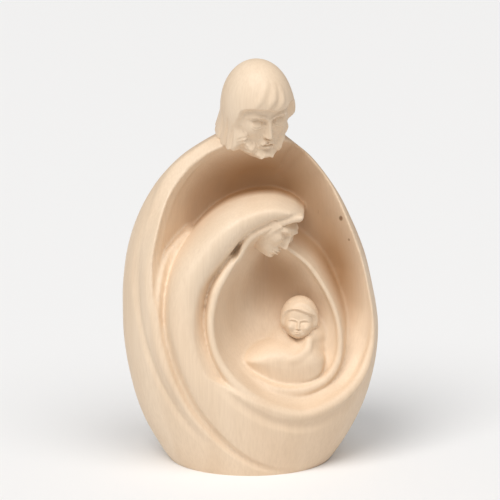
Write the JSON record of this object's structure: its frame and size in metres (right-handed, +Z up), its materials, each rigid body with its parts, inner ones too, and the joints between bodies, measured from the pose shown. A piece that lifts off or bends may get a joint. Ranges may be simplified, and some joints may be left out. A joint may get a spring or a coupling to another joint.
{
  "type": "holy family statue",
  "caption": "Egg-shaped carving in pale wood: a bowed bearded figure shelters a hooded figure and a swaddled infant in a hollowed mantle.",
  "frame": {"origin": "middle of the flat underside, level with the table", "axes": "+X to the viewer's right, +Y away from the viewer, into the back of the carving, +Z up"},
  "size_m": [0.1581, 0.1032, 0.2503],
  "materials": {
    "wood_pale": "fine sanded, satin, thin oil or wax"
  },
  "bodies": {
    "root": {"holy_family": "wood_pale"}
  },
  "joints": []
}
